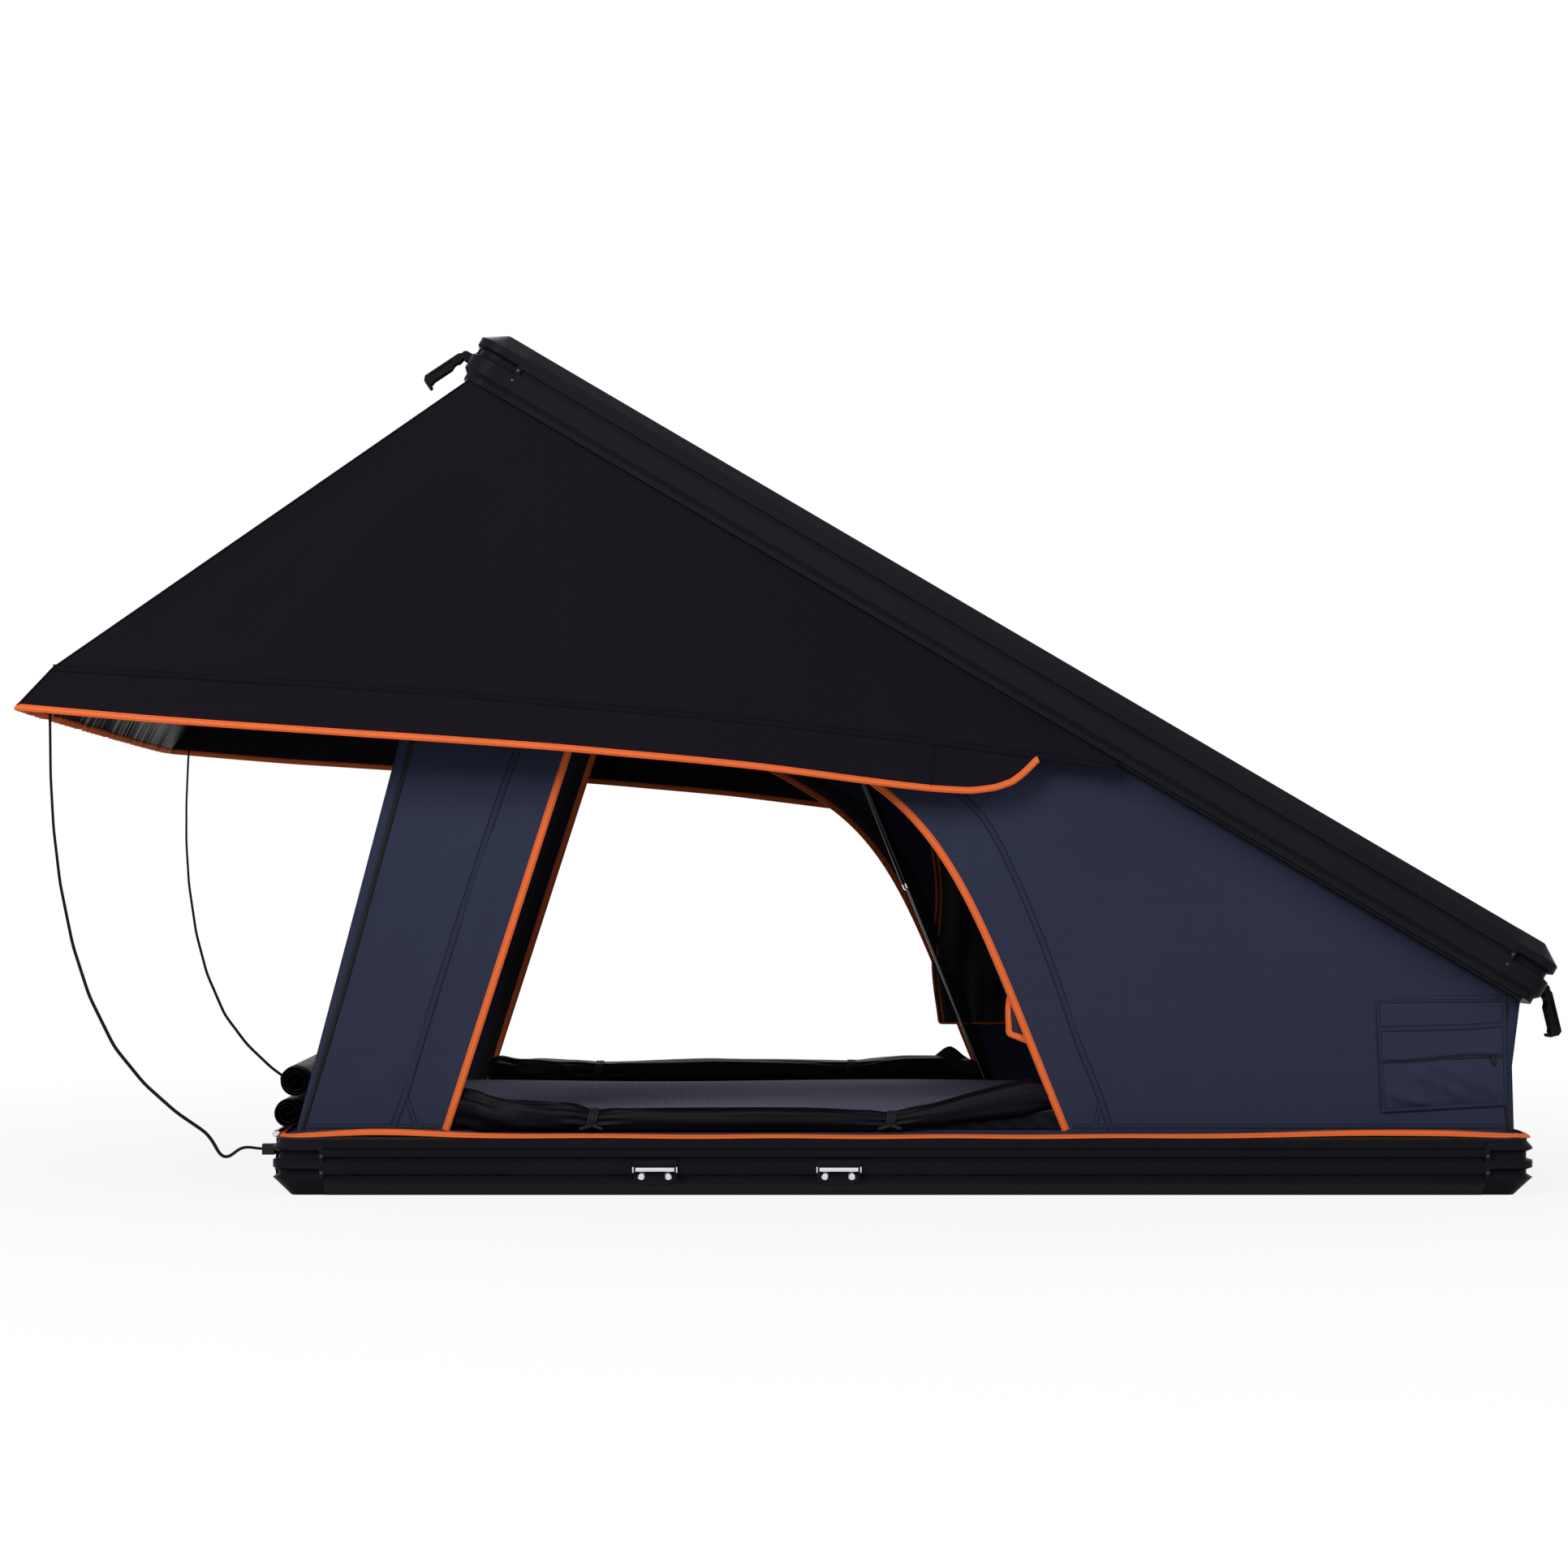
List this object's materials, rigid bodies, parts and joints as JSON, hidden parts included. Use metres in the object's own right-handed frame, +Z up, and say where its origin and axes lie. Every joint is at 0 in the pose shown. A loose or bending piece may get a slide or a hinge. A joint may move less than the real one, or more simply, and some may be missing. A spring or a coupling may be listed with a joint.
{
  "type": "roof top tent",
  "caption": "Hard-shell wedge roof top tent: a tray that bolts to roof bars, a lid that swings up on folding stays and gas struts, cloth walls, a fly on bent rods, and a mattress.",
  "frame": {"origin": "middle of the base's footprint, on the plane where the mounting bars meet the roof rack", "axes": "+X towards the foot end, +Y to the far side of the picture, +Z up"},
  "size_m": [2.6099, 1.6356, 1.4561],
  "materials": {
    "shell_aluminium": "satin",
    "corner_casting": "matte",
    "floor_board": "matte",
    "roof_skin": "satin",
    "bare_aluminium": "satin",
    "bright_metal": "polished",
    "black_steel": "satin",
    "strut_tube": "gloss",
    "black_plastic": "matte",
    "seal_rubber": "matte",
    "wall_cloth": "matte",
    "fly_cloth": "matte",
    "mesh_cloth": "matte",
    "mattress_cloth": "matte",
    "lining_felt": "matte"
  },
  "bodies": {
    "base": {"base_rail_near": "shell_aluminium", "base_rail_far": "shell_aluminium", "base_rail_head": "shell_aluminium", "base_rail_foot": "shell_aluminium", "base_corners": "corner_casting", "base_corner_screws": "bright_metal", "floor_panel": "floor_board", "mounting_bars": "bare_aluminium", "base_seal": "seal_rubber", "mattress": "mattress_cloth", "ladder_plates": "black_steel", "ladder_pins": "bright_metal", "ladder_bolts": "bright_metal", "rod_sockets": "black_plastic", "head_bar": "bright_metal", "strut_base_brackets": "black_steel", "stay_base_brackets": "black_steel", "wall_near": "wall_cloth", "wall_far": "wall_cloth", "wall_foot": "wall_cloth", "wall_head": "wall_cloth", "skirt": "wall_cloth", "pocket": "wall_cloth", "inner_flap": "fly_cloth", "mesh_roll_near": "mesh_cloth", "mesh_roll_far": "mesh_cloth", "head_roll_upper": "mesh_cloth", "head_roll_lower": "mesh_cloth", "roll_ties": "mesh_cloth"},
    "lower_stays": {"lower_stay_links": "black_steel", "knee_pins": "bright_metal"},
    "upper_stays": {"upper_stay_links": "black_steel"},
    "lid": {"lid_rail_near": "shell_aluminium", "lid_rail_far": "shell_aluminium", "lid_rail_head": "shell_aluminium", "lid_rail_foot": "shell_aluminium", "lid_corners": "corner_casting", "lid_corner_screws": "bright_metal", "roof_panel": "roof_skin", "lid_lining": "lining_felt", "lid_seal": "seal_rubber", "strut_lid_brackets": "black_steel", "stay_lid_brackets": "black_steel", "latch_plates": "black_steel", "fly_near": "fly_cloth", "fly_far": "fly_cloth", "fly_front": "fly_cloth"},
    "struts": {"strut_tubes": "strut_tube", "strut_collars": "bright_metal"},
    "rods": {"strut_rods": "bright_metal", "strut_rod_ends": "black_plastic"},
    "head_hook_near": {"latch_head_near": "black_steel"},
    "head_hook_far": {"latch_head_far": "black_steel"},
    "foot_hook_near": {"latch_foot_near": "black_steel"},
    "foot_hook_far": {"latch_foot_far": "black_steel"},
    "awning_near": {"awning_rod_near": "black_steel"},
    "awning_far": {"awning_rod_far": "black_steel"}
  },
  "joints": [
    {"name": "lid_fold", "type": "hinge", "parent": "upper_stays", "child": "lid", "pos_m": [0.98009, 0, 0.42937], "axis": [0, -1, 0], "range_deg": [0, 55.79], "deforming": ["wall_near", "wall_far", "wall_foot", "wall_head", "skirt", "pocket", "inner_flap", "mesh_roll_near", "mesh_roll_far", "head_roll_upper", "head_roll_lower", "roll_ties", "fly_near", "fly_far", "fly_front"]},
    {"name": "stay_swing", "type": "hinge", "parent": "base", "child": "lower_stays", "pos_m": [0.92, 0, 0.05], "axis": [0, -1, 0], "range_deg": [0, 43.4]},
    {"name": "stay_knee", "type": "hinge", "parent": "lower_stays", "child": "upper_stays", "pos_m": [0.76036, 0, 0.26973], "axis": [0, -1, 0], "range_deg": [-68.79, 0]},
    {"name": "strut_swing", "type": "hinge", "parent": "lid", "child": "struts", "pos_m": [-0.0903, 0, 1.02374], "axis": [0, -1, 0], "range_deg": [0, 31.39]},
    {"name": "strut_slide", "type": "slide", "parent": "struts", "child": "rods", "axis": [0.3745, 0, -0.9272], "range_m": [-0.4363, 0]},
    {"name": "head_latch_near", "type": "hinge", "parent": "lid", "child": "head_hook_near", "pos_m": [-0.74288, -0.5855, 1.43211], "axis": [0, -1, 0], "range_deg": [-60, 26]},
    {"name": "head_latch_far", "type": "hinge", "parent": "lid", "child": "head_hook_far", "pos_m": [-0.74288, 0.5855, 1.43211], "axis": [0, -1, 0], "range_deg": [-60, 26]},
    {"name": "foot_latch_near", "type": "hinge", "parent": "lid", "child": "foot_hook_near", "pos_m": [1.10894, -0.5855, 0.34566], "axis": [0, -1, 0], "range_deg": [-44, 46]},
    {"name": "foot_latch_far", "type": "hinge", "parent": "lid", "child": "foot_hook_far", "pos_m": [1.10894, 0.5855, 0.34566], "axis": [0, -1, 0], "range_deg": [-44, 46]},
    {"name": "awning_pull_near", "type": "slide", "parent": "base", "child": "awning_near", "axis": [-1, 0, 0], "range_m": [0, 0.014]},
    {"name": "awning_pull_far", "type": "slide", "parent": "base", "child": "awning_far", "axis": [-1, 0, 0], "range_m": [0, 0.014]}
  ],
  "couplings": [
    {"joint": "stay_swing", "follows": "lid_fold", "ratio": 0.77774},
    {"joint": "stay_knee", "follows": "lid_fold", "ratio": -1.2329},
    {"joint": "strut_swing", "follows": "lid_fold", "ratio": 0.56243},
    {"joint": "strut_slide", "follows": "lid_fold", "m_per_rad": -0.44796}
  ]
}
